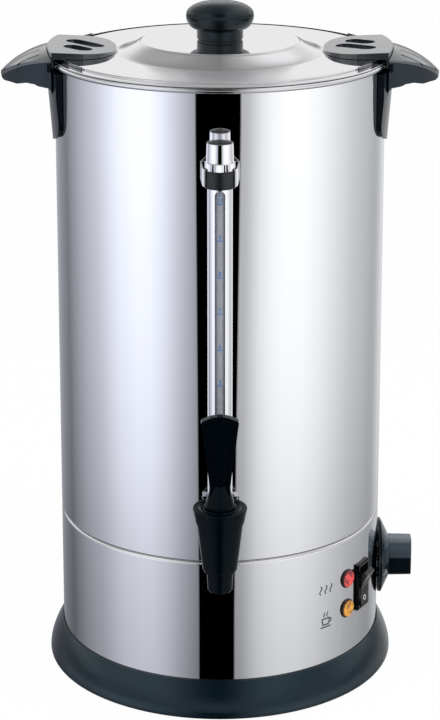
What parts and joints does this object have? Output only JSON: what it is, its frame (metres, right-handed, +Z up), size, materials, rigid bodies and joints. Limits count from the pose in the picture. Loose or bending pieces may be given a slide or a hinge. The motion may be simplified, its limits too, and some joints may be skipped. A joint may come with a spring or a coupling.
{
  "type": "hot water urn",
  "caption": "Tall cylindrical double-skin water boiler with a latched lid, side handles, a sight gauge, a lever tap, and a switch, lamps and dial on its lower housing.",
  "frame": {"origin": "centre of the flat face that the urn stands on, on the vessel's axis", "axes": "+Z up along the vessel's axis; the tap and the sight gauge face -Y; the dial, the rocker switch and the lamps are on the +X side; the handles lie along X"},
  "size_m": [0.304, 0.312, 0.479],
  "materials": {
    "polished_steel": "polished stainless steel",
    "bright_steel": "bright plated",
    "screw_steel": "satin",
    "skirt_plastic": "fine satin, blue-black",
    "handle_plastic": "satin, blue-black",
    "cover_plastic": "fine satin, blue-grey black",
    "knob_plastic": "gloss",
    "switch_plastic": "semi-gloss",
    "tap_plastic": "gloss",
    "rubber": "matte",
    "gauge_glass": "clear",
    "red_glass": "ribbed, tinted red",
    "amber_glass": "ribbed, tinted amber",
    "plate_steel": "zinc grey",
    "aluminium": "cast",
    "element_sheath": "dull",
    "phenolic": "brown moulded",
    "pale_plastic": "ivory",
    "silicone": "translucent white"
  },
  "bodies": {
    "urn": {"tank": "polished_steel", "lower_housing": "polished_steel", "gauge_shield": "bright_steel", "gauge_cap": "bright_steel", "upper_clip": "bright_steel", "lower_clip": "bright_steel", "tap_shank": "bright_steel", "shank_nuts": "bright_steel", "base_screws": "screw_steel", "inlet_screws": "screw_steel", "thermostat_screws": "screw_steel", "handle_screws": "screw_steel", "clip_screw": "screw_steel", "tap_spring": "screw_steel", "element_clamp": "screw_steel", "base_skirt": "skirt_plastic", "right_handle": "handle_plastic", "left_handle": "handle_plastic", "right_handle_cover": "cover_plastic", "left_handle_cover": "cover_plastic", "rocker_housing": "switch_plastic", "red_lamp_holder": "switch_plastic", "amber_lamp_holder": "switch_plastic", "mains_inlet": "switch_plastic", "tap_body": "tap_plastic", "tap_bonnet": "tap_plastic", "gauge_socket": "tap_plastic", "foot_ring": "rubber", "gauge_collar": "rubber", "gauge_seals": "rubber", "shank_washers": "rubber", "gauge_glass": "gauge_glass", "red_lens": "red_glass", "amber_lens": "amber_glass", "base_plate": "plate_steel", "heating_plate": "aluminium", "heating_element": "element_sheath", "boil_dry_cutout": "phenolic", "terminal_block": "pale_plastic", "thermostat": "pale_plastic"},
    "lid": {"lid": "polished_steel", "lid_knob": "knob_plastic", "knob_washer": "rubber", "knob_screw": "screw_steel", "right_lid_latch": "cover_plastic", "left_lid_latch": "cover_plastic", "latch_screws": "screw_steel"},
    "tap_lever": {"tap_lever": "tap_plastic"},
    "tap_stem": {"tap_stem": "pale_plastic", "lever_pin": "screw_steel", "seat_cup": "silicone"},
    "thermostat_dial": {"thermostat_knob": "knob_plastic", "thermostat_spindle": "screw_steel"},
    "rocker": {"rocker": "switch_plastic"}
  },
  "joints": [
    {"name": "lid_lift", "type": "slide", "parent": "urn", "child": "lid", "axis": [0, 0, 1], "range_m": [0, 0.08]},
    {"name": "lever_tilt", "type": "hinge", "parent": "urn", "child": "tap_lever", "pos_m": [0, -0.1789, 0.1769], "axis": [1, 0, 0], "range_deg": [0, 25], "stiffness_Nm_per_rad": 0.2, "springref_deg": -20.05},
    {"name": "stem_lift", "type": "slide", "parent": "urn", "child": "tap_stem", "axis": [0, 0, 1], "range_m": [0, 0.0045], "deforming": ["tap_spring"]},
    {"name": "dial_turn", "type": "hinge", "parent": "urn", "child": "thermostat_dial", "pos_m": [0.118, 0, 0.0698], "axis": [-1, 0, 0], "range_deg": [0, 270]},
    {"name": "rocker_tilt", "type": "hinge", "parent": "urn", "child": "rocker", "pos_m": [0.09602, -0.05366, 0.0713], "axis": [0.4879, 0.8729, 0], "range_deg": [-20, 0]}
  ],
  "couplings": [
    {"joint": "stem_lift", "follows": "lever_tilt", "m_per_rad": 0.01}
  ]
}
